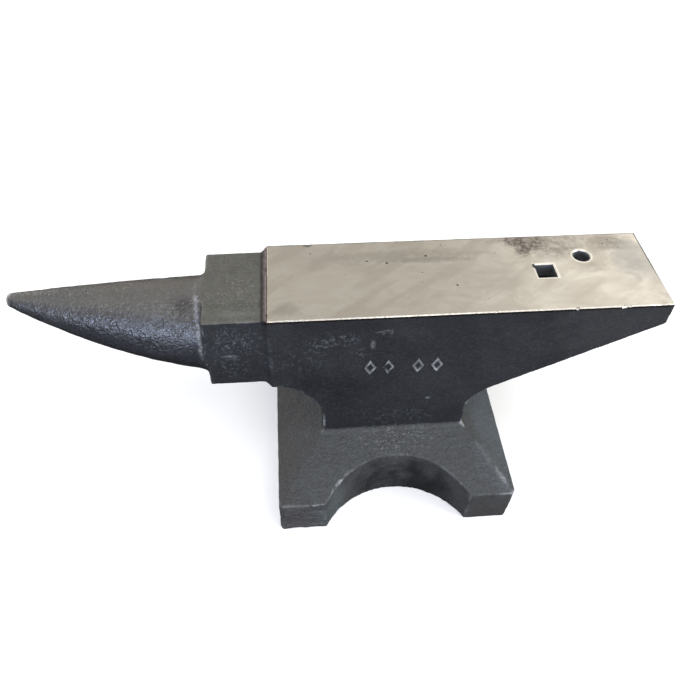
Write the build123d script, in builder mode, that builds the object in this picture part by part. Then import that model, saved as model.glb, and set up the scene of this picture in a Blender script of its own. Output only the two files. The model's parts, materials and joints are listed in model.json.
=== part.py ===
"""A single-horn blacksmith's anvil: foot, body, heel, table block, horn, face plate and weld beads.

Millimetres. X runs from the horn (-) to the heel (+), Y runs across the face, Z is up.
The origin is at the centre of the foot's underside.
"""

import os

from build123d import *

# ---------------------------------------------------------------- driving dimensions
face_width = 115.0
face_height = 260.0  # underside of the foot to the face
face_left = -132.0  # end of the face beside the table
face_right = 273.0  # end of the heel
plate_thickness = 16.0
heel_thickness = 28.0  # depth of the heel's end face
heel_root = 106.0  # where the heel meets the body
heel_rise = 0.5352  # slope of the heel's underside

foot_length = 264.0
foot_depth = 274.0
rim_height = 51.0
rim_draft = 1.0  # how much the rim narrows towards the floor, on its front and back
heel_end_draft = 2.5  # the same on the end of the foot below the heel
rim_corner = 5.0  # rounding of the rim's four upright corners
corner_zone = 8.0  # an upright edge within this of a corner of the foot is one of those four
scallop_radius = 91.5
scallop_centre = 180.3  # distance of each scallop's centre from the middle of the foot

waist_left = -79.0
waist_right = 81.5
waist_foot = 79.5  # height at which the waist meets the foot
heel_throat = 40.0  # radius between the heel's underside and the waist
shoulder_height = 161.0  # underside of the body at its horn end
shoulder_corner = (-110.0, 160.0)  # corners of the hollow below the shoulder, before rounding
shoulder_throat = (waist_left, 124.0)
shoulder_radii = [33.0, 46.0]

table_length = 64.0
table_width = 105.0
table_top = 256.0
table_bottom = 163.0
table_edge = 5.0  # rounding of the table block's lower edges
table_bead = 5.5  # length of the sloping bead along the table block

horn_tip = -389.0
horn_root_radius = 50.0
horn_belly_radius = 34.3  # half way along the horn
horn_tip_radius = 6.3
horn_nose = 3.0  # rounding of the blunt tip
horn_sections = 9
horn_bead_length = 9.0  # leg of the hollow bead along the horn
horn_bead_height = 4.5  # its leg on the table block
horn_bead_hollow = 12.6  # radius of its hollow face
horn_bead_sink = 1.0  # how far its outer edge starts below the horn's surface
horn_bead_root = 6.0  # how deep the bead is drawn before the horn is taken out of it

hardy_side = 20.0
hardy_x = 157.5
pritchel_diameter = 18.0
pritchel_x = 202.0
pritchel_y = 21.5
hole_chamfer = 1.0

mark_width = 14.0
mark_height = 24.0
mark_open_width = 6.0
mark_open_height = 10.0
mark_relief = 1.6
mark_row_height = 186.0
mark_places = (-29.5, -10.5, 21.0, 41.0)  # two pairs along X

foot_bead = 2.0  # height of the bead on the waist
foot_bead_reach = 4.0  # how far it runs out on the foot

# ---------------------------------------------------------------- places worked out from them
table_left = face_left - table_length
face_length = face_right - face_left
face_middle = (face_left + face_right) / 2
plate_bottom = face_height - plate_thickness
heel_bottom = face_height - heel_thickness
heel_root_bottom = heel_bottom - heel_rise * (face_right - heel_root)
heel_throat_height = heel_bottom - heel_rise * (face_right - waist_right)
waist_middle = (waist_left + waist_right) / 2
waist_length = waist_right - waist_left
front_side = Plane.XZ.offset(face_width / 2)
table_end = Plane.YZ.offset(table_left)
body_end = Plane.YZ.offset(face_left)


def horn_radius(share):
    """The horn's radius at a share of its length, from 0 at the root to 1 at the tip."""
    root = horn_root_radius * (1 - share) * (1 - 2 * share)
    belly = horn_belly_radius * 4 * share * (1 - share)
    tip = horn_tip_radius * share * (2 * share - 1)
    return root + belly + tip


def tool_holes(depth):
    """Cut the square hardy hole and the round pritchel hole down from the face."""
    with BuildSketch(Plane.XY.offset(face_height)) as openings:
        with Locations((hardy_x, 0)):
            Rectangle(hardy_side, hardy_side)
        with Locations((pritchel_x, pritchel_y)):
            Circle(pritchel_diameter / 2)
    extrude(openings.sketch, amount=-depth, mode=Mode.SUBTRACT)


def lozenge(width, height, mode=Mode.ADD):
    """A diamond standing on its point."""
    corners = ((0, height / 2), (width / 2, 0), (0, -height / 2), (-width / 2, 0))
    Polygon(*corners, align=None, mode=mode)


# ---------------------------------------------------------------- foot
with BuildPart() as base:
    with BuildSketch(Plane.XY):
        with Locations((-heel_end_draft / 2, 0)):
            Rectangle(foot_length - heel_end_draft, foot_depth - 2 * rim_draft)
    with BuildSketch(Plane.XY.offset(rim_height)):
        Rectangle(foot_length, foot_depth)
    loft()
    with BuildSketch(Plane.XY.offset(rim_height)):
        Rectangle(foot_length, foot_depth)
    with BuildSketch(Plane.XY.offset(waist_foot)):
        with Locations((waist_middle, 0)):
            Rectangle(waist_length, face_width)
    loft()
    with BuildSketch(Plane.XY):
        with Locations((0, -scallop_centre), (0, scallop_centre)):
            Circle(scallop_radius)
    extrude(amount=waist_foot, mode=Mode.SUBTRACT)
    uprights = base.edges().filter_by(lambda edge: 0 < edge.center().Z < rim_height)
    uprights = uprights.filter_by(lambda edge: abs(edge.center().X) > foot_length / 2 - corner_zone)
    uprights = uprights.filter_by(lambda edge: abs(edge.center().Y) > foot_depth / 2 - corner_zone)
    fillet(uprights, rim_corner)
base.part.label = "base"

# ---------------------------------------------------------------- body: waist and shoulder in one slab
with BuildPart() as body:
    with BuildSketch(Plane.XZ):
        with BuildLine():
            heel_side = FilletPolyline(
                (heel_root, heel_root_bottom),
                (waist_right, heel_throat_height),
                (waist_right, waist_foot),
                radius=heel_throat,
            )
            shoulder_side = FilletPolyline(
                (face_left, shoulder_height),
                shoulder_corner,
                shoulder_throat,
                (waist_left, waist_foot),
                radius=shoulder_radii,
            )
            Line(heel_side @ 1, shoulder_side @ 1)
            Polyline(
                shoulder_side @ 0,
                (face_left, plate_bottom),
                (heel_root, plate_bottom),
                heel_side @ 0,
            )
        make_face()
    extrude(amount=face_width / 2, both=True)
    with BuildSketch(front_side):
        for place in mark_places:
            with Locations((place, mark_row_height)):
                lozenge(mark_width, mark_height)
                lozenge(mark_open_width, mark_open_height, mode=Mode.SUBTRACT)
    extrude(amount=mark_relief)
body.part.label = "body"

# ---------------------------------------------------------------- heel
with BuildPart() as heel:
    with BuildSketch(Plane.XZ):
        Polygon(
            (heel_root, plate_bottom),
            (face_right, plate_bottom),
            (face_right, heel_bottom),
            (heel_root, heel_root_bottom),
            align=None,
        )
    extrude(amount=face_width / 2, both=True)
    tool_holes(face_height)
heel.part.label = "heel"

# ---------------------------------------------------------------- face plate
with BuildPart() as face_plate:
    with BuildSketch(Plane.XY.offset(plate_bottom)):
        with Locations((face_middle, 0)):
            Rectangle(face_length, face_width)
    extrude(amount=plate_thickness)
    tool_holes(plate_thickness)
    top_edges = face_plate.faces().sort_by(Axis.Z)[-1].edges()
    chamfer(top_edges, hole_chamfer)
face_plate.part.label = "face_plate"

# ---------------------------------------------------------------- table block
with BuildPart() as table_block:
    with BuildSketch(table_end):
        with Locations((0, (table_top + table_bottom) / 2)):
            Rectangle(table_width, table_top - table_bottom)
    extrude(amount=table_length)
    lower_edges = table_block.edges().filter_by(Axis.X).group_by(Axis.Z)[0]
    fillet(lower_edges, table_edge)
table_block.part.label = "table_block"

# ---------------------------------------------------------------- horn
with BuildPart() as horn:
    for index in range(horn_sections):
        share = index / (horn_sections - 1)
        radius = horn_radius(share)
        with BuildSketch(Plane.YZ.offset(table_left + (horn_tip - table_left) * share)):
            with Locations((0, table_top - radius)):
                Circle(radius)
    loft()
    nose_edge = horn.faces().sort_by(Axis.X)[0].edges()
    fillet(nose_edge, horn_nose)
    # The root's underside is flat, flush with the table block's.
    split(bisect_by=Plane.XY.offset(table_bottom), keep=Keep.TOP)
horn.part.label = "horn"

# ---------------------------------------------------------------- bead round the horn's root
horn_axis_height = table_top - horn_root_radius
with BuildPart() as horn_weld:
    with BuildSketch(Plane.XZ):
        with BuildLine():
            bead_end = table_left - horn_bead_length
            bead_inside = table_top - horn_bead_root
            toe = (table_left, table_top + horn_bead_height)
            tail = (bead_end, table_top - horn_bead_sink)
            RadiusArc(toe, tail, horn_bead_hollow)
            Polyline(tail, (bead_end, bead_inside), (table_left, bead_inside), toe)
        make_face()
    revolve(axis=Axis((0, 0, horn_axis_height), (1, 0, 0)))
    with BuildSketch(table_end):
        with Locations((0, (table_top + table_bottom) / 2)):
            Rectangle(table_width, table_top - table_bottom)
    extrude(amount=-horn_bead_length, mode=Mode.INTERSECT)
    add(horn.part, mode=Mode.SUBTRACT)
horn_weld.part.label = "horn_weld"

# ---------------------------------------------------------------- bead between the table block and the body
with BuildPart() as table_weld:
    with BuildSketch(body_end):
        with Locations((0, (face_height + shoulder_height) / 2)):
            Rectangle(face_width, face_height - shoulder_height)
    with BuildSketch(Plane.YZ.offset(face_left - table_bead)):
        with Locations((0, (table_top + table_bottom) / 2)):
            Rectangle(table_width, table_top - table_bottom)
    loft()
    add(table_block.part, mode=Mode.SUBTRACT)
table_weld.part.label = "table_weld"

# ---------------------------------------------------------------- bead round the foot of the waist
with BuildPart() as base_weld:
    with BuildSketch(Plane.XY.offset(waist_foot - foot_bead)):
        with Locations((waist_middle, 0)):
            Rectangle(waist_length + 2 * foot_bead_reach, face_width + 2 * foot_bead_reach)
    with BuildSketch(Plane.XY.offset(waist_foot + foot_bead)):
        with Locations((waist_middle, 0)):
            Rectangle(waist_length, face_width)
    loft()
    add(body.part, mode=Mode.SUBTRACT)
    add(base.part, mode=Mode.SUBTRACT)
base_weld.part.label = "base_weld"

# ---------------------------------------------------------------- files
os.makedirs("parts", exist_ok=True)
for piece in (base, body, heel, face_plate, table_block, horn, horn_weld, table_weld, base_weld):
    export_step(piece.part, f"parts/{piece.part.label}.step")
    print(piece.part.label, round(piece.part.volume))
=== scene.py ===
"""A single-horn anvil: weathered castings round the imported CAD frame, and a ground face.

It stands on a plain pale floor in soft studio light.

Metres. X runs from the horn (-) to the heel (+), Y across the face, Z up from the floor.
"""

import json
import math

import bmesh
import bpy
import numpy as np
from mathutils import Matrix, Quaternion, Vector

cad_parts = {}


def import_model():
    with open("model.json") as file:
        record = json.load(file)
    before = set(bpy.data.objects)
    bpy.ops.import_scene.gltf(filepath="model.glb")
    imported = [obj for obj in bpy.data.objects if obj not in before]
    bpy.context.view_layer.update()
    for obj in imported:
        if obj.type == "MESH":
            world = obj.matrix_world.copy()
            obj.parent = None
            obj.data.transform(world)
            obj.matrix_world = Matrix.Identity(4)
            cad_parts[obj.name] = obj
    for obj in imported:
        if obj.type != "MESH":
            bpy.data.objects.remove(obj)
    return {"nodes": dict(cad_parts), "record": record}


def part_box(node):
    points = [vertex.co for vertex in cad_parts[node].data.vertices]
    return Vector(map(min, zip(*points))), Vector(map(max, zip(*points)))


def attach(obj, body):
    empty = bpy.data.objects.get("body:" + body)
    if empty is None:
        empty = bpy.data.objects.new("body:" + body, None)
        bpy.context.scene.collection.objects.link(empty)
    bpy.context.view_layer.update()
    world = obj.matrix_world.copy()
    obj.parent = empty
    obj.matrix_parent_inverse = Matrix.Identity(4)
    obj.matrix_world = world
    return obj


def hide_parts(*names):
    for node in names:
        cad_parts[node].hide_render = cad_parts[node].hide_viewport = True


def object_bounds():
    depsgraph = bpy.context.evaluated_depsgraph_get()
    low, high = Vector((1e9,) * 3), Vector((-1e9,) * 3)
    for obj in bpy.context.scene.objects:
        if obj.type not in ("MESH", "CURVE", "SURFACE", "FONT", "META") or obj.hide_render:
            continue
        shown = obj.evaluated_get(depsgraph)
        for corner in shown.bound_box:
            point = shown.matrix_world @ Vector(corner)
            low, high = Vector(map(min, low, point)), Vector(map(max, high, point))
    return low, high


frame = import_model()
cad_low, cad_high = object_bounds()
nodes = frame["nodes"]
scene = bpy.context.scene

MM = 0.001
VOXEL = 1.5 * MM  # grid of the cast skin
ROUNDING = 2  # smoothing passes that round the cast edges
FLATTENING = 10  # more of them, to tell edges from corners
CLEAR = 1.5 * MM  # how far the cut above the foot keeps off the bead round the waist
HORN_CUT = 2.5 * MM  # where the horn is cut from the table block, out from the block's end
SEED = 7

# The rough cast surface, in millimetres: size of the features, and their height.
LUMPS = (11, 0.22)
FINE_LUMPS = (4.2, 0.16)
DENTS = (16, 0.35)
BROKEN_STREAKS = (8, 1.7)
BROKEN_DEPTH = 0.6  # share of the streaks' height by which the broken rim lies below the rest
TRUE_STRIP = 5 * MM  # the strip below the face that is machined along with it

# ---------------------------------------------------------------- places read from the frame
plate_low, plate_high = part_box("face_plate")
table_low, table_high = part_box("table_block")
heel_low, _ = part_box("heel")
_, bead_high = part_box("base_weld")
horn_bead_low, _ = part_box("horn_weld")
SIDE = plate_low.y  # the side with the raised marks
TOP = plate_high.z

# All the places below are in millimetres.
# Where the paint is worn through on the edges: middle, reach and strength.
WORN_PLACES = (
    ((81, -57, 80), 9, 2.2),
    ((84, -57, 118), 4, 1.2),
    ((130, -130, 51), 20, 0.8),
    ((108, -100, 62), 22, 0.8),
    ((-62, -120, 57), 26, 1.5),
    ((-92, -132, 50), 16, 1.1),
    ((-128, -135, 50), 14, 1.0),
    ((66, -130, 52), 14, 0.6),
    ((-202, -38, 240), 26, 1.3),
    ((-203, -20, 255), 18, 1.0),
    ((-204, -50, 205), 22, 1.0),
    ((-388, 0, 250), 12, 1.2),
    ((-134, -57, 258), 9, 1.4),
    ((-80, -57, 90), 22, 0.9),
)
# Small bare places off the edges: middle, reach along X, Y and Z, and strength.
BARE_PLACES = (
    ((81.5, -57.5, 81), (3.5, 3, 4), 1.0),
    ((83.5, -55, 117), (2.5, 3, 4), 0.9),
    ((-28, -57.5, 221), (3, 3, 9), 0.3),
    ((-20, -57.5, 239), (8, 3, 1.6), 0.22),
    ((-171, -52.5, 208), (11, 3, 2.2), 0.32),
    ((37, -57.5, 131), (4, 3, 2.2), 0.45),
    ((131, -136, 50), (5, 5, 5), 0.9),
    ((-366, -8, 247), (18, 4, 3), 0.3),
    ((-134, -56, 258), (3, 4, 3), 0.6),
)
# The broken left end of the front rim: middle and reach, in millimetres.
BROKEN_RIM = ((-106, -137, 26), (38, 9, 36))
# Edges rubbed bright along part of their length: two ends, width, and strength at each end.
BARE_LINES = (
    ((96, -80, 71.5), (131.5, -136.5, 51), 2.8, 0.2, 0.95),
    ((-80.6, -137, 51), (-66, -117, 58.2), 1.6, 0.9, 0.95),
    ((-66, -117, 58.2), (-48, -102.4, 63.4), 1.4, 0.9, 0.35),
    ((-131, -137, 51), (-81, -137, 51), 1.7, 0.5, 0.6),
    ((84, -137, 51), (131, -137, 51), 1.3, 0.1, 0.3),
    ((-128, -137, 36), (-92, -137, 39), 1.3, 0.45, 0.3),
    ((-122, -137, 13), (-84, -137, 9), 1.6, 0.3, 0.55),
    ((-79.5, -57.5, 81), (-80, -57.5, 112), 1.2, 0.35, 0.15),
)
# Where the tops of the cast lumps are scuffed: middle, reach along X, Y and Z, and strength.
SCUFFED_PLACES = (
    ((-82, -57, 225), (24, 30, 14), 0.8),
    ((-58, -57, 229), (26, 30, 13), 0.9),
    ((-37, -57, 210), (18, 30, 14), 0.55),
    ((-16, -57, 238), (20, 30, 7), 0.9),
    ((-100, -57, 205), (46, 30, 40), 0.3),
    ((-165, -52, 230), (38, 30, 30), 1.0),
    ((-172, -52, 195), (32, 30, 34), 0.6),
    ((-135, -57, 212), (16, 30, 34), 0.55),
    ((0, -57, 100), (70, 30, 26), 0.4),
    ((-158, -12, 256), (46, 46, 12), 0.9),
    ((5, -70, 77), (76, 30, 16), 1.0),
    ((0, -86, 70), (40, 22, 12), 0.8),
    ((-230, -36, 232), (60, 40, 40), 0.8),
)


# ---------------------------------------------------------------- numpy helpers
def lattice(points, seed):
    """Smooth value noise between -1 and 1, one value a point."""
    cell = np.floor(points).astype(np.int64)
    share = points - cell
    share = share * share * (3 - 2 * share)
    total = np.zeros(len(points))
    for corner in range(8):
        step = np.array([corner & 1, corner >> 1 & 1, corner >> 2 & 1])
        at = cell + step
        mixed = at[:, 0] * 73856093 ^ at[:, 1] * 19349663 ^ at[:, 2] * 83492791
        mixed = mixed ^ seed * 2654435761
        mixed = (mixed ^ mixed >> 13) * 1274126177 & 0xFFFFFFFF
        mixed = (mixed ^ mixed >> 16) * 2246822519 & 0xFFFFFFFF
        value = mixed / 0x7FFFFFFF - 1
        weight = np.prod(np.where(step, share, 1 - share), axis=1)
        total += weight * value
    return total


def fractal(points, size, octaves, seed):
    """Several octaves of noise, the first with features of that size in metres."""
    total = np.zeros(len(points))
    for octave in range(octaves):
        total += lattice(points / size * 2**octave + 17.3 * octave, seed + octave) / 2**octave
    return total


def positions(mesh):
    co = np.empty(len(mesh.vertices) * 3)
    mesh.vertices.foreach_get("co", co)
    return co.reshape(-1, 3)


def put_positions(mesh, co):
    mesh.vertices.foreach_set("co", co.astype(np.float32).ravel())
    mesh.update()


def edge_pairs(mesh):
    pairs = np.empty(len(mesh.edges) * 2, np.int32)
    mesh.edges.foreach_get("vertices", pairs)
    return pairs.reshape(-1, 2)


def smoothed(co, pairs, passes, factor=0.5):
    """Each point moves towards the mean of its neighbours, so many times."""
    count = np.bincount(pairs.ravel(), minlength=len(co))[:, None]
    for _ in range(passes):
        mean = np.empty_like(co)
        for axis in range(3):
            near = np.bincount(pairs[:, 0], co[pairs[:, 1], axis], len(co))
            far = np.bincount(pairs[:, 1], co[pairs[:, 0], axis], len(co))
            mean[:, axis] = near + far
        co = co + factor * (mean / count - co)
    return co


def normals_of(mesh):
    normal = np.empty(len(mesh.vertices) * 3)
    mesh.vertex_normals.foreach_get("vector", normal)
    return normal.reshape(-1, 3)


def step_up(value, low, high):
    """0 below low, 1 above high, smooth between."""
    share = np.clip((value - low) / (high - low), 0, 1)
    return share * share * (3 - 2 * share)


def near(co, centre, reach, core):
    """1 in the core of a ball or ellipsoid, falling to 0 at its reach. Both in millimetres."""
    away = np.linalg.norm((co - np.array(centre) * MM) / (np.array(reach) * MM), axis=1)
    return step_up(-away, -1, -core)


def store(mesh, **values):
    """Keeps values on the vertices, for the materials to read."""
    for name, value in values.items():
        stored = mesh.attributes.new(name, "FLOAT", "POINT")
        stored.data.foreach_set("value", value.astype(np.float32))


def new_object(name, mesh):
    made = bpy.data.objects.new(name, mesh)
    scene.collection.objects.link(made)
    return made


def baked_modifiers(made):
    """The mesh with its modifiers applied."""
    graph = bpy.context.evaluated_depsgraph_get()
    mesh = bpy.data.meshes.new_from_object(made.evaluated_get(graph))
    old = made.data
    made.modifiers.clear()
    made.data = mesh
    bpy.data.meshes.remove(old)


# ---------------------------------------------------------------- the cast skin
def cast_skin():
    """All the castings in one skin, so that no seam shows where they join. They are cut apart later."""
    joined = bmesh.new()
    for name, node in nodes.items():
        mesh = node.data.copy()
        co = positions(mesh)
        if name == "body":  # the raised marks are pieces of their own
            co[:, 1] = np.clip(co[:, 1], SIDE, -SIDE)
            put_positions(mesh, co)
        joined.from_mesh(mesh)
        bpy.data.meshes.remove(mesh)
    bmesh.ops.remove_doubles(joined, verts=joined.verts, dist=1e-6)
    mesh = bpy.data.meshes.new("skin")
    joined.to_mesh(mesh)
    joined.free()
    skin = new_object("skin", mesh)
    remesh = skin.modifiers.new("remesh", "REMESH")
    remesh.mode = "VOXEL"
    remesh.voxel_size = VOXEL
    baked_modifiers(skin)
    return skin


def cast_surface(co):
    """How far the surface stands out at each point, in metres: lumps, dents and the broken rim."""
    height = LUMPS[1] * fractal(co, LUMPS[0] * MM, 2, SEED)
    height += FINE_LUMPS[1] * fractal(co, FINE_LUMPS[0] * MM, 2, SEED + 10)
    height -= DENTS[1] * step_up(fractal(co, DENTS[0] * MM, 2, SEED + 20), 0.75, 1.2)
    streaks = fractal(co * np.array((0.4, 1.0, 1.5)), BROKEN_STREAKS[0] * MM, 3, SEED + 90)
    height += BROKEN_STREAKS[1] * (streaks - BROKEN_DEPTH) * near(co, *BROKEN_RIM, 0.6)
    # The machined face, and the strip of side below it, stay true.
    below_face = step_up(plate_low.z - co[:, 2], 0, TRUE_STRIP)
    beside_face = step_up(plate_low.x - co[:, 0], 0, 3 * MM)
    return height * np.maximum(below_face, beside_face) * MM


def bead_line(co):
    """The bright line along the toe of the bead at the horn's root, on the top and the front."""
    toe = horn_bead_low.x + 0.5 * MM + 4.5 * MM * np.clip(-co[:, 1] / 0.05, 0, 1)
    wander = 0.5 * MM * fractal(co, 9 * MM, 2, SEED + 60)
    line = np.exp(-(((co[:, 0] - toe - wander) / (1.9 * MM)) ** 2))
    on_top = step_up(14 * MM - co[:, 1], 0, 12 * MM)
    on_front = step_up(-5 * MM - co[:, 1], 0, 12 * MM)
    line *= 0.3 * on_top + 0.7 * on_front
    line *= step_up(co[:, 2], 0.196, 0.226)
    return line * (0.85 + 0.75 * fractal(co, 4.5 * MM, 3, SEED + 65))


def bare_metal(co):
    """Where bright metal shows: the bead's toe, small places, and lengths of edge."""
    bare = np.clip(bead_line(co), 0, 1)
    for centre, reach, amount in BARE_PLACES:
        bare = np.maximum(bare, amount * near(co, centre, reach, 0.3))
    for start, end, width, first, last in BARE_LINES:
        a, b = np.array(start) * MM, np.array(end) * MM
        share = np.clip((co - a) @ (b - a) / ((b - a) @ (b - a)), 0, 1)
        away = np.linalg.norm(co - a - share[:, None] * (b - a), axis=1) / (width * MM)
        strength = first + (last - first) * share
        strength *= 0.55 + 0.9 * fractal(co, 8 * MM, 2, SEED + 66)
        bare = np.maximum(bare, np.clip(strength, 0, 1) * np.exp(-(away**2)))
    return bare


def weather(skin):
    """Rounds the edges, adds the rough cast surface, and stores where the paint is worn."""
    mesh = skin.data
    pairs = edge_pairs(mesh)
    co = smoothed(positions(mesh), pairs, ROUNDING)
    put_positions(mesh, co)
    normal = normals_of(mesh)
    flat = smoothed(co, pairs, FLATTENING)
    ridge = ((co - flat) * normal).sum(1) / MM  # above 0 on edges, below 0 in corners
    ridge += 0.12 * fractal(co, 6 * MM, 2, SEED + 40)

    co = co + normal * cast_surface(co)[:, None]
    co = np.clip(co, np.array(cad_low), np.array(cad_high))
    put_positions(mesh, co)

    extra = np.zeros(len(co))
    for centre, reach, amount in WORN_PLACES:
        extra = np.maximum(extra, amount * near(co, centre, reach, 0.35))
    rubbed = np.full(len(co), 0.12)
    for centre, reach, amount in SCUFFED_PLACES:
        rubbed = np.maximum(rubbed, amount * near(co, centre, reach, 0.3))
    hollow = step_up(-ridge, 0.2, 0.9)
    hollow *= 1 - 0.8 * step_up(table_low.x + 3 * MM - co[:, 0], 0, 2 * MM)
    # the bead between the table block and the body, where it lies below the face's end
    scaled = step_up(co[:, 0], table_high.x - 7.5 * MM, table_high.x - 5 * MM)
    scaled *= step_up(table_high.x + 2 * MM - co[:, 0], 0, 1 * MM)
    scaled *= step_up(co[:, 2], 0.250, 0.2555)
    worn = step_up(ridge, 0.16, 0.6) * (0.2 + extra)
    store(mesh, worn=worn, hollow=hollow, rubbed=rubbed, scaled=scaled, bare=bare_metal(co))


def cut_away(made, point, outward):
    """Cuts off what lies beyond a plane and closes the cut."""
    work = bmesh.new()
    work.from_mesh(made.data)
    everything = work.verts[:] + work.edges[:] + work.faces[:]
    bmesh.ops.bisect_plane(work, geom=everything, plane_co=point, plane_no=outward, clear_outer=True)
    rim = [edge for edge in work.edges if edge.is_boundary]
    filled = bmesh.ops.triangle_fill(work, use_beauty=True, edges=rim)
    cap = [face for face in filled["geom"] if isinstance(face, bmesh.types.BMFace)]
    for face in cap:
        face.smooth = False
        face.normal_update()
        if face.normal.dot(Vector(outward)) < 0:
            face.normal_flip()
    for edge in rim:
        edge.smooth = False
    work.to_mesh(made.data)
    work.free()


# Cuts for a casting: each is a point and the direction in which the rest is cut off.
def before(x):
    return (x, 0, 0), (1, 0, 0)


def beyond(x):
    return (x, 0, 0), (-1, 0, 0)


def below(z):
    return (0, 0, z), (0, 0, 1)


def above(z):
    return (0, 0, z), (0, 0, -1)


def casting(skin, name, stands_for, cuts, material):
    """One piece of the skin, between its cutting planes."""
    piece = new_object(name, skin.data.copy())
    for point, outward in cuts:
        cut_away(piece, point, outward)
    piece.data.materials.append(material)
    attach(piece, "root")
    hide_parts(*stands_for)


# ---------------------------------------------------------------- node trees
class Tree:
    """Short ways to add shader nodes to one material."""

    def __init__(self, name):
        self.material = bpy.data.materials.new(name)
        self.material.use_nodes = True
        self.tree = self.material.node_tree
        self.shader = self.tree.nodes["Principled BSDF"]
        self.place = self.add("ShaderNodeTexCoord").outputs["Object"]
        self.normal = self.add("ShaderNodeNewGeometry").outputs["Normal"]

    def add(self, kind, **settings):
        node = self.tree.nodes.new(kind)
        for key, value in settings.items():
            setattr(node, key, value)
        return node

    def put(self, socket, value):
        if isinstance(value, bpy.types.NodeSocket):
            self.tree.links.new(value, socket)
        else:
            socket.default_value = value

    def noise(self, scale, detail=3.0, rough=0.55, stretch=None, offset=0.0, distortion=0.0):
        """Noise with features of about 1/scale metres, around 0.5."""
        place = self.place
        if stretch or offset:
            mapping = self.add("ShaderNodeMapping")
            self.put(mapping.inputs["Vector"], place)
            mapping.inputs["Scale"].default_value = stretch or (1, 1, 1)
            mapping.inputs["Location"].default_value = (offset, offset, offset)
            place = mapping.outputs["Vector"]
        node = self.add("ShaderNodeTexNoise")
        self.put(node.inputs["Vector"], place)
        node.inputs["Scale"].default_value = scale
        node.inputs["Detail"].default_value = detail
        node.inputs["Roughness"].default_value = rough
        node.inputs["Distortion"].default_value = distortion
        return node.outputs["Fac"]

    def turned(self, degrees, scale, size):
        """Noise drawn out into streaks at an angle across the face, each of that relative size."""
        mapping = self.add("ShaderNodeMapping", vector_type="TEXTURE")
        self.put(mapping.inputs["Vector"], self.place)
        mapping.inputs["Rotation"].default_value = (0, 0, math.radians(degrees))
        mapping.inputs["Scale"].default_value = size
        node = self.add("ShaderNodeTexNoise")
        self.put(node.inputs["Vector"], mapping.outputs["Vector"])
        node.inputs["Scale"].default_value = scale
        node.inputs["Detail"].default_value = 3
        return node.outputs["Fac"]

    def cells(self, scale):
        """Distance to the nearest of many scattered points."""
        node = self.add("ShaderNodeTexVoronoi", feature="F1")
        self.put(node.inputs["Vector"], self.place)
        node.inputs["Scale"].default_value = scale
        node.inputs["Randomness"].default_value = 1.0
        return node.outputs["Distance"]

    def stored(self, name):
        return self.add("ShaderNodeAttribute", attribute_name=name).outputs["Fac"]

    def ramp(self, value, low, high, out_low=0.0, out_high=1.0):
        """Rises smoothly from one value to the other as the input goes from low to high."""
        node = self.add("ShaderNodeMapRange", interpolation_type="SMOOTHSTEP")
        self.put(node.inputs["Value"], value)
        node.inputs["From Min"].default_value = low
        node.inputs["From Max"].default_value = high
        node.inputs["To Min"].default_value = out_low
        node.inputs["To Max"].default_value = out_high
        return node.outputs["Result"]

    def math(self, operation, a, b=0.0):
        node = self.add("ShaderNodeMath", operation=operation)
        self.put(node.inputs[0], a)
        self.put(node.inputs[1], b)
        return node.outputs["Value"]

    def mix(self, share, a, b, blend="MIX"):
        node = self.add("ShaderNodeMix", data_type="RGBA", blend_type=blend)
        self.put(node.inputs["Factor"], share)
        for socket, value in ((node.inputs[6], a), (node.inputs[7], b)):
            if isinstance(value, tuple):
                value = (*value, 1.0)
            self.put(socket, value)
        return node.outputs[2]

    def split(self, vector):
        node = self.add("ShaderNodeSeparateXYZ")
        self.put(node.inputs[0], vector)
        return node.outputs

    def vector(self, operation, a, b):
        node = self.add("ShaderNodeVectorMath", operation=operation)
        self.put(node.inputs[0], a)
        self.put(node.inputs[1], b)
        return node.outputs["Value" if operation == "LENGTH" else "Vector"]

    def patch(self, centre, reach, wobble, soft=0.35):
        """A soft ellipsoid, middle and reach in millimetres, its outline wobbling with a noise."""
        away = self.vector("SUBTRACT", self.place, tuple(c * MM for c in centre))
        share = self.vector("MULTIPLY", away, tuple(1 / (r * MM) for r in reach))
        length = self.vector("LENGTH", share, (0, 0, 0))
        wobble = self.math("MULTIPLY", self.math("SUBTRACT", wobble, 0.5), 1.6)
        length = self.math("ADD", length, wobble)
        return self.ramp(length, soft, 1.0, 1.0, 0.0)

    def bump(self, height, distance, below=None):
        node = self.add("ShaderNodeBump")
        self.put(node.inputs["Height"], height)
        node.inputs["Distance"].default_value = distance
        node.inputs["Strength"].default_value = 1.0
        if below is not None:
            self.put(node.inputs["Normal"], below)
        return node.outputs["Normal"]


# ---------------------------------------------------------------- materials
WORN_METAL_AND_HIGHLIGHT = (0.30, 0.31, 0.32)
CORNER_TONE = (0.022, 0.02, 0.018)
UNDERSIDE_SHADE = (0.003, 0.003, 0.0033)
SCUFF_ON_SIDE = (0.115, 0.125, 0.132)
SCUFF_ON_TOP = (0.20, 0.20, 0.185)
BURNT = (0.006, 0.004, 0.0045)
# Brown scale on the bead at the face's end: dark, brown and pale, and the heights between them.
SCALE_COLOURS = ((0.011, 0.009, 0.009), (0.056, 0.043, 0.041), (0.17, 0.14, 0.125))
SCALE_HEIGHTS = ((0.2566, 0.2581), (0.2580, 0.2594))
BURNT_HEIGHTS = (0.2555, 0.2578)


def times(colour, factor):
    return tuple(channel * factor for channel in colour)


def tinted(t, colour, places, soft, limit=None):
    """Coloured patches: middle and reach in millimetres, strength, colour."""
    for middle, reach, strength, tint in places:
        here = t.patch(middle, reach, t.noise(40, 4, 0.6), soft=soft)
        if limit is not None:
            here = t.math("MULTIPLY", here, limit)
        colour = t.mix(t.math("MULTIPLY", here, strength), colour, tint)
    return colour


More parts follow.
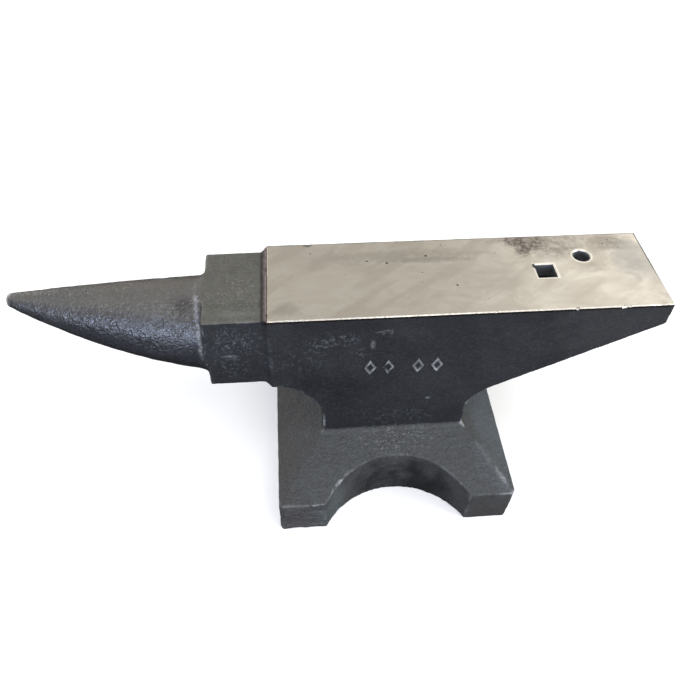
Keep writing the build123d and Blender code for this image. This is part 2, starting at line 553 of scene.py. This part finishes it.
def scorched(t, colour, patch, up):
    """Brown scale on the bead below the face's end, and a burnt line under the face's edge."""
    height = t.split(t.place)[2]
    dark, brown, pale = SCALE_COLOURS
    lower, upper = SCALE_HEIGHTS
    scale = t.mix(t.ramp(height, *lower), dark, brown)
    paler = t.math("MULTIPLY", t.ramp(height, *upper), t.ramp(patch, 0.4, 0.55))
    colour = t.mix(t.stored("scaled"), colour, t.mix(paler, scale, pale))
    burnt = t.math("MULTIPLY", t.ramp(height, *BURNT_HEIGHTS), t.ramp(up, 0.2, 0.6, 1.0, 0.0))
    return t.mix(burnt, colour, BURNT)


def paint(name, side, top, rough, shine, dust_and_light_rise, speck, rough_height, tints, wall_tints_and_light=()):
    """Dark paint over a rough casting, with its colour on the sides and where it faces up.

    It is lighter where it faces up, being dusty there and also carrying painted light from above; it is
    scuffed on the lumps and worn through on the edges.
    """
    t = Tree(name)
    up = t.split(t.normal)[2]
    broad = t.noise(14, 3, offset=3.1)
    patch = t.noise(60, 4, 0.6)
    grit = t.noise(420, 4, 0.6)
    fine = t.noise(1500, 2, 0.6)
    coarse = t.noise(230, 3, 0.65, offset=0.37)
    pebble = t.cells(330)

    # lighter where the paint faces up: partly dust settled there, partly painted light from above
    dust_and_top_light = t.math("MULTIPLY", t.ramp(up, *dust_and_light_rise), t.ramp(patch, 0.2, 0.75, 0.8, 1.05))
    colour = t.mix(t.ramp(broad, 0.35, 0.65), side, times(side, 1.35))
    blotch = t.ramp(t.noise(110, 4, 0.65, offset=2.2), 0.4, 0.62)
    warm = tuple(channel * share for channel, share in zip(top, (0.98, 0.93, 0.93)))
    colour = t.mix(dust_and_top_light, colour, t.mix(blotch, warm, times(top, 1.06)))
    colour = tinted(t, colour, tints, 0.0)
    colour = tinted(t, colour, wall_tints_and_light, 0.1, t.ramp(up, 0.5, 0.85, 1.0, 0.0))
    # a fine salt-and-pepper grain in the paint
    grain = t.ramp(grit, 0.3, 0.72, 0.84, 1.17)
    shade = t.add("ShaderNodeCombineColor")
    for channel in shade.inputs[:3]:
        t.put(channel, grain)
    colour = t.mix(1.0, colour, shade.outputs[0], "MULTIPLY")
    # scuffs on the tops of the lumps, in patches, lighter where they face up, following the painted
    # light from above
    flecks = t.ramp(t.noise(340, 3, 0.65, offset=1.9), 0.54, 0.67)
    patches = t.math("MULTIPLY", t.ramp(t.noise(170, 4, 0.7, offset=4.4), 0.56, 0.68), 0.9)
    scuff = t.math("MULTIPLY", t.math("MAXIMUM", flecks, patches), t.stored("rubbed"))
    scuff = t.math("MULTIPLY", scuff, speck)
    colour = t.mix(scuff, colour, t.mix(dust_and_top_light, SCUFF_ON_SIDE, SCUFF_ON_TOP))
    # the undersides and the turn of the lower edges are darkened as painted shade, and the corners are
    # pulled towards one dull tone
    colour = t.mix(t.ramp(up, -0.5, -0.12, 0.85, 0.0), colour, UNDERSIDE_SHADE)
    colour = t.mix(t.math("MULTIPLY", t.stored("hollow"), 0.3), colour, CORNER_TONE)
    # paint worn through on the edges, bright bare places, and the painted highlights on the raised
    # marks
    worn = t.math("MULTIPLY", t.stored("worn"), t.ramp(patch, 0.42, 0.62))
    worn = t.math("MULTIPLY", worn, t.ramp(fine, 0.35, 0.6, 0.4, 1.0))
    bared = t.math("MULTIPLY", t.stored("bare"), t.ramp(grit, 0.3, 0.62, 0.35, 1.0))
    worn = t.math("MAXIMUM", worn, bared)
    colour = t.mix(t.math("MULTIPLY", worn, 0.85), colour, WORN_METAL_AND_HIGHLIGHT)
    t.put(t.shader.inputs["Base Color"], scorched(t, colour, patch, up))

    t.put(t.shader.inputs["Roughness"], t.ramp(patch, 0.3, 0.7, rough - 0.06, rough + 0.08))
    t.shader.inputs["Specular IOR Level"].default_value = shine
    pebbles = t.math("ADD", coarse, t.math("MULTIPLY", pebble, -0.4))
    grains = t.math("ADD", grit, t.math("MULTIPLY", fine, 0.35))
    normal = t.bump(grains, 0.35 * rough_height, below=t.bump(pebbles, rough_height))
    t.put(t.shader.inputs["Normal"], normal)
    return t.material


mounts = {mount["name"]: mount["pos_m"] for mount in frame["record"]["mounts"]}
hardy_middle = Vector(mounts["hardy_hole"])
round_middle = Vector(mounts["pritchel_hole"])
# Smudges on the ground face: middle and reach along X and Y in millimetres, strength, colour.
SMUDGES = (
    ((15, 32), (120, 14), 0.70, (0.36, 0.325, 0.275)),
    ((40, 24), (60, 6), 0.55, (0.30, 0.27, 0.23)),
    ((90, -10), (60, 34), 0.45, (0.43, 0.395, 0.335)),
    ((-85, 34), (70, 30), 0.35, (0.44, 0.39, 0.33)),
    ((-30, 14), (30, 12), 0.35, (0.42, 0.38, 0.32)),
    ((160, 52), (90, 9), 0.80, (0.32, 0.28, 0.235)),
    ((178, 36), (44, 22), 0.9, (0.32, 0.29, 0.245)),
    ((143, 40), (15, 24), 1.0, (0.12, 0.10, 0.085)),
    ((132, 49), (14, 12), 0.90, (0.15, 0.125, 0.105)),
    ((158, 46), (14, 18), 0.90, (0.14, 0.12, 0.10)),
    ((240, 42), (34, 18), 0.75, (0.30, 0.265, 0.225)),
    ((256, 12), (34, 40), 0.55, (0.41, 0.40, 0.385)),
    ((205, 2), (26, 12), 0.45, (0.40, 0.36, 0.30)),
    ((-114, -42), (20, 13), 0.6, (0.34, 0.31, 0.265)),
    ((-88, 55.5), (6, 4), 1.0, (0.035, 0.03, 0.026)),
    ((40, -30), (60, 9), 0.25, (0.46, 0.42, 0.36)),
)
CRISP_FROM = 0.75  # smudges stronger than this are crisp stains, and the others smooth
STEEL_DULL = (0.50, 0.455, 0.385)
STEEL_MIDDLE = (0.60, 0.556, 0.48)
STEEL_BRIGHT = (0.62, 0.578, 0.503)
STEEL_WIPED = (0.455, 0.41, 0.345)
BURNISHED = (0.83, 0.79, 0.71)
EDGE_SHADE = (0.13, 0.12, 0.11)
FRECKLE = (0.22, 0.19, 0.16)
SQUARE_RIM = (0.0115, 0.0134)  # where the burnished rims end, out from the middles of the holes
ROUND_RIM = (0.0105, 0.0124)


def ground_steel(name):
    """The ground working face: warm bare steel with smudges, stains and faint wheel marks."""
    t = Tree(name)
    broad = t.noise(9, 3, offset=1.7, stretch=(1, 1.6, 1))
    smear = t.noise(22, 4, 0.6, stretch=(1, 1.7, 1), distortion=1.2)
    blot = t.noise(85, 5, 0.65)
    wheel = t.noise(160, 3, 0.6, stretch=(0.18, 6, 1))
    fine = t.noise(700, 2)
    colour = t.mix(t.ramp(smear, 0.3, 0.72), STEEL_DULL, STEEL_BRIGHT)
    colour = t.mix(t.ramp(broad, 0.3, 0.7, 0.0, 0.5), colour, STEEL_MIDDLE)
    wiped = t.turned(38, 30, (2.6, 0.6, 1))
    colour = t.mix(t.ramp(wiped, 0.48, 0.62, 0.0, 0.5), colour, STEEL_WIPED)
    crisp = t.ramp(t.noise(210, 5, 0.7, offset=6.3), 0.42, 0.56, 0.45, 1.0)
    dulled = None
    for middle, reach, strength, tint in SMUDGES:
        here = t.patch((*middle, TOP / MM), (*reach, 60), blot)
        here = t.math("MULTIPLY", here, t.ramp(blot, 0.25, 0.6, 0.35 * strength, strength))
        if strength > CRISP_FROM:
            here = t.math("MULTIPLY", here, crisp)
        colour = t.mix(here, colour, tint)
        dulled = here if dulled is None else t.math("MAXIMUM", dulled, here)
    # burnished rims round the two holes
    across = t.vector("ABSOLUTE", t.vector("SUBTRACT", t.place, tuple(hardy_middle)), (0, 0, 0))
    across = t.split(across)
    square = t.math("MAXIMUM", across[0], across[1])
    away = t.split(t.vector("SUBTRACT", t.place, tuple(round_middle)))
    circle = t.math("ADD", t.math("POWER", away[0], 2.0), t.math("POWER", away[1], 2.0))
    circle = t.math("SQRT", circle)
    square = t.ramp(square, *SQUARE_RIM, 1.0, 0.0)
    circle = t.ramp(circle, *ROUND_RIM, 1.0, 0.0)
    rim = t.math("MULTIPLY", t.math("MAXIMUM", square, circle), 0.85)
    colour = t.mix(rim, colour, BURNISHED)
    # painted shade: dark lines along the back edge and the end of the heel
    x, y, _ = t.split(t.place)
    back_shade = t.math("MULTIPLY", t.ramp(y, 0.0546, 0.0560), t.ramp(blot, 0.4, 0.6, 0.2, 0.9))
    end_shade = t.math("MULTIPLY", t.ramp(x, 0.2700, 0.2714), t.ramp(y, -0.035, 0.005, 0.0, 0.9))
    colour = t.mix(t.math("MAXIMUM", back_shade, end_shade), colour, EDGE_SHADE)
    freckles = t.math("MULTIPLY", t.ramp(t.noise(330, 2, offset=5.0), 0.72, 0.78), 0.7)
    t.put(t.shader.inputs["Base Color"], t.mix(freckles, colour, FRECKLE))
    t.shader.inputs["Metallic"].default_value = 1.0
    rough = t.ramp(smear, 0.3, 0.7, 0.42, 0.33)
    t.put(t.shader.inputs["Roughness"], t.math("ADD", rough, t.math("MULTIPLY", dulled, 0.15)))
    t.put(t.shader.inputs["Normal"], t.bump(fine, 0.00004, below=t.bump(wheel, 0.00003)))
    return t.material


def bright_edge(name):
    """Freshly ground chamfers."""
    t = Tree(name)
    spots = t.noise(300, 3)
    colour = t.mix(t.ramp(spots, 0.35, 0.65), (0.56, 0.52, 0.46), (0.82, 0.78, 0.71))
    # duller towards the table and at the end there, and darker along the back as painted shade
    x, y, _ = t.split(t.place)
    colour = t.mix(t.ramp(x, -0.11, 0.0, 0.75, 0.0), colour, (0.40, 0.365, 0.30))
    table_end = t.ramp(x, -0.1309, -0.1306, 1.0, 0.0)
    table_end = t.math("MULTIPLY", table_end, t.ramp(spots, 0.3, 0.6, 0.6, 1.0))
    colour = t.mix(table_end, colour, (0.34, 0.27, 0.25))
    back_edge_shade = t.math("MULTIPLY", t.ramp(y, 0.0563, 0.0569), t.ramp(t.noise(60, 4, 0.65), 0.4, 0.6))
    colour = t.mix(t.math("MULTIPLY", back_edge_shade, 0.85), colour, (0.10, 0.085, 0.07))
    t.put(t.shader.inputs["Base Color"], colour)
    t.shader.inputs["Metallic"].default_value = 1.0
    t.put(t.shader.inputs["Roughness"], t.ramp(spots, 0.3, 0.7, 0.45, 0.3))
    t.put(t.shader.inputs["Normal"], t.bump(t.noise(900, 2), 0.0001))
    return t.material


def hole_wall(name):
    """Grey, scaly walls of the tool holes."""
    t = Tree(name)
    spots = t.noise(260, 4)
    colour = t.mix(t.ramp(spots, 0.35, 0.65), (0.060, 0.064, 0.073), (0.090, 0.096, 0.110))
    t.put(t.shader.inputs["Base Color"], colour)
    t.shader.inputs["Roughness"].default_value = 0.8
    t.put(t.shader.inputs["Normal"], t.bump(spots, 0.0004))
    return t.material


def chipped_metal(name):
    """Rough broken metal in the chips and pits."""
    t = Tree(name)
    spots = t.noise(700, 3)
    colour = t.mix(t.ramp(spots, 0.35, 0.65), (0.03, 0.026, 0.024), (0.13, 0.11, 0.095))
    t.put(t.shader.inputs["Base Color"], colour)
    t.shader.inputs["Metallic"].default_value = 0.5
    t.shader.inputs["Roughness"].default_value = 0.6
    t.put(t.shader.inputs["Normal"], t.bump(spots, 0.0004))
    return t.material


# Rust-brown and pale places on the paint, and on the walls also painted light and shade: middle and
# reach in millimetres, strength, colour.
# Those on the walls keep off the surfaces that face up.
FOOT_TINTS = (
    ((-135, -10, 50), (62, 230, 130), 0.85, (0.047, 0.0435, 0.044)),
    ((124, -30, 62), (46, 190, 44), 0.9, (0.075, 0.087, 0.098)),
)
FOOT_WALL_TINTS_AND_PAINTED_LIGHT = (
    ((-110, -137, 20), (70, 30, 60), 0.5, (0.048, 0.043, 0.0415)),
    ((112, -137, 20), (60, 30, 50), 0.5, (0.040, 0.035, 0.033)),
    # painted light on the left end of the front hollow, and painted shade in its middle
    ((-72, -122, 26), (34, 34, 70), 0.8, (0.072, 0.084, 0.085)),
    ((24, -98, 14), (92, 32, 70), 1.0, (0.009, 0.0083, 0.0087)),
)
BODY_TINTS = (
    ((-160, -28, 256), (60, 8, 10), 0.5, (0.072, 0.074, 0.065)),
    ((-168, -41, 256), (60, 6, 10), 0.5, (0.122, 0.127, 0.116)),
    ((-150, 20, 256), (40, 26, 10), 0.4, (0.080, 0.078, 0.069)),
)
BODY_WALL_TINTS_AND_PAINTED_LIGHT = (
    # painted light: the heel's side lighter towards its end
    ((230, -57, 240), (130, 30, 90), 1.0, (0.0275, 0.0272, 0.029)),
    # painted shade: the lower sides of the body and the table darker
    ((-75, -57, 158), (60, 30, 56), 0.7, (0.0092, 0.0096, 0.0108)),
    ((-160, -52, 186), (60, 30, 40), 0.5, (0.0105, 0.0110, 0.0125)),
)
HORN_TINTS = (
    ((-290, 14, 254), (95, 30, 22), 0.6, (0.088, 0.077, 0.064)),
    ((-215, 12, 256), (30, 26, 16), 0.5, (0.080, 0.071, 0.059)),
    ((-214, -24, 250), (22, 17, 20), 1.0, (0.016, 0.013, 0.0155)),
    ((-262, -26, 246), (60, 9, 9), 0.45, (0.032, 0.032, 0.036)),
    ((-335, 0, 250), (75, 40, 22), 0.6, (0.058, 0.057, 0.055)),
)
body_paint = paint(
    "body_paint",
    side=(0.0150, 0.0156, 0.0175),
    top=(0.098, 0.099, 0.087),
    rough=0.45,
    shine=0.2,
    dust_and_light_rise=(0.3, 0.95),
    speck=0.6,
    rough_height=0.0007,
    tints=BODY_TINTS,
    wall_tints_and_light=BODY_WALL_TINTS_AND_PAINTED_LIGHT,
)
horn_paint = paint(
    "horn_paint",
    side=(0.013, 0.0135, 0.0165),
    top=(0.080, 0.078, 0.072),
    rough=0.28,
    shine=0.7,
    dust_and_light_rise=(0.62, 1.0),
    speck=0.5,
    rough_height=0.0010,
    tints=HORN_TINTS,
)
foot_paint = paint(
    "foot_paint",
    side=(0.0325, 0.0327, 0.0325),
    top=(0.0530, 0.0568, 0.0578),
    rough=0.6,
    shine=0.25,
    dust_and_light_rise=(0.3, 0.95),
    speck=0.5,
    rough_height=0.0012,
    tints=FOOT_TINTS,
    wall_tints_and_light=FOOT_WALL_TINTS_AND_PAINTED_LIGHT,
)
steel = ground_steel("ground_face")
edge_steel = bright_edge("face_edge")
scale_dark = hole_wall("hole_scale")
chipped = chipped_metal("chipped_metal")

# ---------------------------------------------------------------- castings
skin = cast_skin()
weather(skin)
waist_z = bead_high.z + CLEAR
horn_x = table_low.x - HORN_CUT
casting(skin, "horn_casting", ["horn", "horn_weld"], [before(horn_x)], horn_paint)
casting(
    skin,
    "table_casting",
    ["table_block", "table_weld"],
    [beyond(horn_x), before(plate_low.x), above(waist_z)],
    body_paint,
)
casting(
    skin,
    "body_casting",
    ["body"],
    [beyond(plate_low.x), before(heel_low.x), above(waist_z), below(plate_low.z)],
    body_paint,
)
casting(
    skin,
    "heel_casting",
    ["heel"],
    [beyond(heel_low.x), above(waist_z), below(plate_low.z)],
    body_paint,
)
casting(skin, "foot_casting", ["base", "base_weld"], [below(waist_z)], foot_paint)
bpy.data.objects.remove(skin)


# ---------------------------------------------------------------- ground face plate
# Chips in the edges and pits in the face: X, Y, radius, and stretch along X, Y and Z, in millimetres.
CHIPS = (
    (173.5, -57.5, 2.0, (1.3, 0.8, 1.1)),
    (221.5, -57.5, 2.5, (1.4, 0.8, 1.1)),
    (227.6, -57.5, 1.3, (1.2, 0.9, 1.3)),
    (92.5, -57.5, 1.3, (1.5, 0.8, 0.9)),
    (118.0, -57.5, 0.8, (2.4, 0.8, 0.8)),
    (12.0, -57.5, 0.8, (2.6, 0.8, 0.8)),
    (-71.0, -57.5, 0.9, (2.0, 0.8, 0.8)),
    (-124.0, -57.5, 1.0, (1.6, 0.8, 0.9)),
    (259.0, -57.5, 0.9, (2.0, 0.8, 0.8)),
    (-88.0, 57.5, 2.2, (1.3, 0.8, 1.0)),
    (12.0, 57.5, 1.2, (2.0, 0.8, 0.8)),
    (131.0, 57.5, 1.6, (1.8, 0.8, 0.8)),
    (139.0, 57.5, 1.2, (1.6, 0.8, 0.8)),
    (206.0, 57.5, 1.4, (2.0, 0.8, 0.8)),
    (273.0, -22.0, 1.5, (0.8, 1.6, 0.8)),
    (273.0, 27.0, 1.1, (0.8, 2.0, 0.8)),
    (-132.0, -47.0, 1.2, (0.8, 1.5, 0.8)),
    (-132.0, -29.0, 0.9, (0.8, 1.8, 0.8)),
    (-132.0, 8.0, 1.0, (0.8, 2.2, 0.8)),
    (-132.0, 44.0, 1.3, (0.8, 1.5, 0.8)),
)
PITS = (
    (-85.8, 41.1, 0.9),
    (35.4, 30.6, 1.55),
    (-7.0, 21.4, 1.35),
    (-27.6, 25.4, 1.1),
    (60.7, -16.7, 1.3),
    (28.1, 4.4, 0.7),
    (54.4, 47.4, 0.8),
    (-52.0, 6.0, 0.55),
    (110.0, 31.0, 0.7),
    (231.0, 40.0, 0.9),
    (246.0, 33.0, 0.7),
    (238.0, 46.0, 0.8),
    (212.0, 49.0, 0.7),
    (88.0, -38.0, 0.5),
    (2.0, -44.0, 0.45),
)


def lump(work, place, radius, stretch, seed):
    """Adds an irregular pebble to a mesh, to be cut out of another."""
    grown = bmesh.ops.create_icosphere(work, subdivisions=2, radius=radius)
    co = np.array([vert.co for vert in grown["verts"]])
    co *= (1 + 0.22 * lattice(co / radius * 1.7 + seed, seed))[:, None]
    for vert, at in zip(grown["verts"], co * np.array(stretch)):
        vert.co = Vector(at) + Vector(place)


# At a corner of the square hole: place from its middle, radius, stretch.
HARDY_CHIP = (Vector((-10.5, 7.5, 0)) * MM, 2.6 * MM, (1.0, 1.5, 1.1))
CHAMFER = 1 * MM  # of the face plate's edges
EDGE_ZONE = 4 * MM  # the chips this near the front edge are bright
HOLES_FROM = 12 * MM  # the walls this far inside the plate's outline are those of the holes
HAIR = 0.01 * MM
UP_45 = math.sqrt(0.5)  # how far up a chamfer's normal points
# Slots of the face piece's materials, in order.
GROUND, BRIGHT, PAINTED, HOLE, CHIPPED = range(5)


def face_slot(face):
    """Which of the five materials a side of the face piece has."""
    normal, centre = face.normal, face.center
    edge_gap = min(centre.x - plate_low.x, plate_high.x - centre.x, plate_high.y - abs(centre.y))
    if normal.z > 0.995 and centre.z > TOP - HAIR:
        return GROUND
    if abs(normal.z - UP_45) < 0.004 and centre.z > TOP - CHAMFER - HAIR:
        return BRIGHT
    if edge_gap < HAIR or normal.z < -0.99:
        return PAINTED
    if abs(normal.z) < 0.01 and edge_gap > HOLES_FROM:
        return HOLE
    if centre.y < plate_low.y + EDGE_ZONE:
        return BRIGHT
    return CHIPPED


def face_piece():
    """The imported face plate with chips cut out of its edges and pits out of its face."""
    cutter_work = bmesh.new()
    for index, (x, y, radius, stretch) in enumerate(CHIPS):
        lump(cutter_work, (x * MM, y * MM, TOP - 0.2 * MM), radius * MM, stretch, index)
    for index, (x, y, radius) in enumerate(PITS):
        place = (x * MM, y * MM, TOP + 0.25 * radius * MM)
        lump(cutter_work, place, radius * MM, (1.2, 1, 0.8), 40 + index)
    step, radius, stretch = HARDY_CHIP
    lump(cutter_work, hardy_middle + step, radius, stretch, 90)
    cutter_mesh = bpy.data.meshes.new("chips")
    cutter_work.to_mesh(cutter_mesh)
    cutter_work.free()
    cutter = new_object("chips", cutter_mesh)

    mesh = nodes["face_plate"].data.copy()
    work = bmesh.new()
    work.from_mesh(mesh)
    bmesh.ops.remove_doubles(work, verts=work.verts, dist=1e-6)
    work.to_mesh(mesh)
    work.free()
    piece = new_object("ground_face", mesh)
    chipping = piece.modifiers.new("chips", "BOOLEAN")
    chipping.operation = "DIFFERENCE"
    chipping.solver = "EXACT"
    chipping.object = cutter
    chipping.use_self = True
    baked_modifiers(piece)
    bpy.data.objects.remove(cutter)

    mesh = piece.data
    for stored in ("custom_normal", "sharp_edge", "sharp_face"):
        if stored in mesh.attributes:
            mesh.attributes.remove(mesh.attributes[stored])
    mesh.materials.clear()
    for material in (steel, edge_steel, body_paint, scale_dark, chipped):
        mesh.materials.append(material)
    for face in mesh.polygons:
        face.material_index = face_slot(face)
        face.use_smooth = face.material_index == HOLE
    mesh.set_sharp_from_angle(angle=math.radians(30))
    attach(piece, "root")
    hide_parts("face_plate")


face_piece()


# ---------------------------------------------------------------- raised marks on the side
# Four open lozenges in two pairs. Their sizes and places are in millimetres.
MARK_PLACES = (-29.5, -10.5, 21.0, 41.0)
MARK_HEIGHT_UP = 186.0
MARK_OUTSIDE = (7.0, 12.0)  # half the width and half the height
MARK_INSIDE = (3.0, 5.0)
MARK_RELIEF = 1.55
MARK_SINK = 0.35  # how far the rounded section starts below the side
MARK_ROOT = 1.5  # how far the mark reaches into the body
MARK_AROUND, MARK_ACROSS = 48, 9  # points round a lozenge and across its section


def lozenge_point(share, size):
    """A point of a lozenge's outline, at a share of the way round it."""
    turn = 4 * share
    side, along = int(turn), turn - int(turn)
    corners = ((1, 0), (0, 1), (-1, 0), (0, -1))
    a, b = corners[side], corners[(side + 1) % 4]
    return [(a[k] * (1 - along) + b[k] * along) * size[k] for k in (0, 1)]


def mark_section(work, middle, share):
    """One closed section of a mark: a rounded top, and a root inside the body."""
    out, into = lozenge_point(share, MARK_OUTSIDE), lozenge_point(share, MARK_INSIDE)

    def point(s, y):
        x = middle + out[0] * (1 - s) + into[0] * s
        z = MARK_HEIGHT_UP + out[1] * (1 - s) + into[1] * s
        return work.verts.new((x * MM, SIDE - y * MM, z * MM))

    shares = [j / (MARK_ACROSS - 1) for j in range(MARK_ACROSS)]
    section = [point(s, MARK_RELIEF * math.sin(math.pi * s) ** 0.55 - MARK_SINK) for s in shares]
    return section + [point(1, -MARK_ROOT), point(0, -MARK_ROOT)]


def marks():
    """The raised marks, cast on the side with a rounded section, lighter with painted highlights where
    they face up and in patches.
    """
    work = bmesh.new()
    for middle in MARK_PLACES:
        rings = [mark_section(work, middle, i / MARK_AROUND) for i in range(MARK_AROUND)]
        for here, there in zip(rings, rings[1:] + rings[:1]):
            for j in range(len(here)):
                k = (j + 1) % len(here)
                work.faces.new((here[j], here[k], there[k], there[j]))
    bmesh.ops.recalc_face_normals(work, faces=work.faces)
    mesh = bpy.data.meshes.new("raised_marks")
    work.to_mesh(mesh)
    work.free()
    mesh.shade_smooth()
    co = positions(mesh)
    proud = step_up(SIDE - co[:, 1], 0.2 * MM, 1.0 * MM)
    wobble = 0.22 * fractal(co, 4 * MM, 2, SEED + 70)
    normal = normals_of(mesh)
    co += normal * (wobble * MM)[:, None]
    put_positions(mesh, co)
    # painted highlight: lighter where the mark faces up, in patches
    lit = 0.34 + 0.5 * normal[:, 2] + 0.65 * fractal(co, 5 * MM, 2, SEED + 80)
    bare = np.clip(lit, 0, 1) * proud
    nothing = np.zeros(len(co))
    store(mesh, worn=0.5 * proud, hollow=nothing, rubbed=0.9 * proud, scaled=nothing, bare=bare)
    mesh.materials.append(body_paint)
    piece = new_object("raised_marks", mesh)
    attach(piece, "root")


marks()

# ---------------------------------------------------------------- floor, light and camera
FLOOR_REACH = 30.0
corner_signs = ((-1, -1), (1, -1), (1, 1), (-1, 1))
floor_corners = [(x * FLOOR_REACH, y * FLOOR_REACH, 0) for x, y in corner_signs]
floor_mesh = bpy.data.meshes.new("floor")
floor_mesh.from_pydata(floor_corners, [], [(0, 1, 2, 3)])
floor = new_object("floor", floor_mesh)
floor_paint = bpy.data.materials.new("floor")
floor_paint.use_nodes = True
floor_shader = floor_paint.node_tree.nodes["Principled BSDF"]
floor_shader.inputs["Base Color"].default_value = (0.93, 0.93, 0.93, 1)
floor_shader.inputs["Roughness"].default_value = 1.0
floor_shader.inputs["Specular IOR Level"].default_value = 0.0
floor_shader.inputs["Emission Color"].default_value = (1, 1, 1, 1)
floor_shader.inputs["Emission Strength"].default_value = 0.15
floor_mesh.materials.append(floor_paint)
floor.visible_glossy = False  # the sheen on the paint comes from the lights, not from the floor


def studio():
    """A plain bright room: even light from above the horizon, and little from below it."""
    world = bpy.data.worlds.new("world")
    world.use_nodes = True
    nodes_in, links = world.node_tree.nodes, world.node_tree.links
    outward = nodes_in.new("ShaderNodeTexCoord").outputs["Generated"]
    parts = nodes_in.new("ShaderNodeSeparateXYZ")
    links.new(outward, parts.inputs[0])
    rise = nodes_in.new("ShaderNodeMapRange")
    rise.interpolation_type = "SMOOTHSTEP"
    links.new(parts.outputs[2], rise.inputs["Value"])
    rise.inputs["From Min"].default_value = -0.14
    rise.inputs["From Max"].default_value = -0.03
    rise.inputs["To Min"].default_value = 0.05
    rise.inputs["To Max"].default_value = 0.72
    background = nodes_in["Background"]
    background.inputs["Color"].default_value = (1.0, 0.99, 0.97, 1)
    links.new(rise.outputs["Result"], background.inputs["Strength"])
    scene.world = world


studio()


AIM = Vector((0, 0, 0.15))  # what the soft boxes are aimed at


def direction(azimuth, elevation):
    """A unit vector: azimuth in degrees from +Y towards +X, elevation in degrees above level."""
    a, e = math.radians(azimuth), math.radians(elevation)
    return Vector((math.sin(a) * math.cos(e), math.cos(a) * math.cos(e), math.sin(e)))


def soft_light(name, azimuth, elevation, distance, size, power, colour):
    """A soft box. Azimuth 0 is behind it (+Y), 90 to its right (+X)."""
    toward = direction(azimuth, elevation)
    lamp = bpy.data.lights.new(name, "AREA")
    lamp.shape = "RECTANGLE"
    lamp.size, lamp.size_y = size
    lamp.energy = power
    lamp.color = colour
    made = new_object(name, lamp)
    made.location = AIM + toward * distance
    made.rotation_euler = toward.to_track_quat("Z", "Y").to_euler()


soft_light("ceiling", 172, 66, 2.6, (2.2, 1.6), 26, (1.0, 0.99, 0.97))
soft_light("back_right", 46, 36, 2.6, (1.4, 1.0), 5.5, (1.0, 0.99, 0.96))
soft_light("window_front", -159, 15, 2.2, (0.6, 0.26), 29, (0.62, 0.73, 1.0))
soft_light("window_back", -55, 9, 2.6, (1.6, 0.8), 22, (1.0, 0.97, 0.92))
soft_light("right", 114, 22, 2.2, (1.0, 0.8), 26, (0.96, 0.98, 1.0))

camera = bpy.data.cameras.new("camera")
camera.lens = 36.0
camera.sensor_width = 36.0
camera.shift_x = 0.0032
camera.shift_y = -0.0211
camera.clip_start = 0.05
camera.clip_end = 50
viewer = new_object("camera", camera)
ahead = direction(5.85, -46.47)
roll = math.radians(1.625)
viewer.location = (-0.1022, -0.5303, 0.7370)
viewer.rotation_mode = "QUATERNION"
viewer.rotation_quaternion = ahead.to_track_quat("-Z", "Y") @ Quaternion((0, 0, 1), roll)
scene.camera = viewer
scene.view_settings.view_transform = "Standard"
scene.view_settings.look = "None"
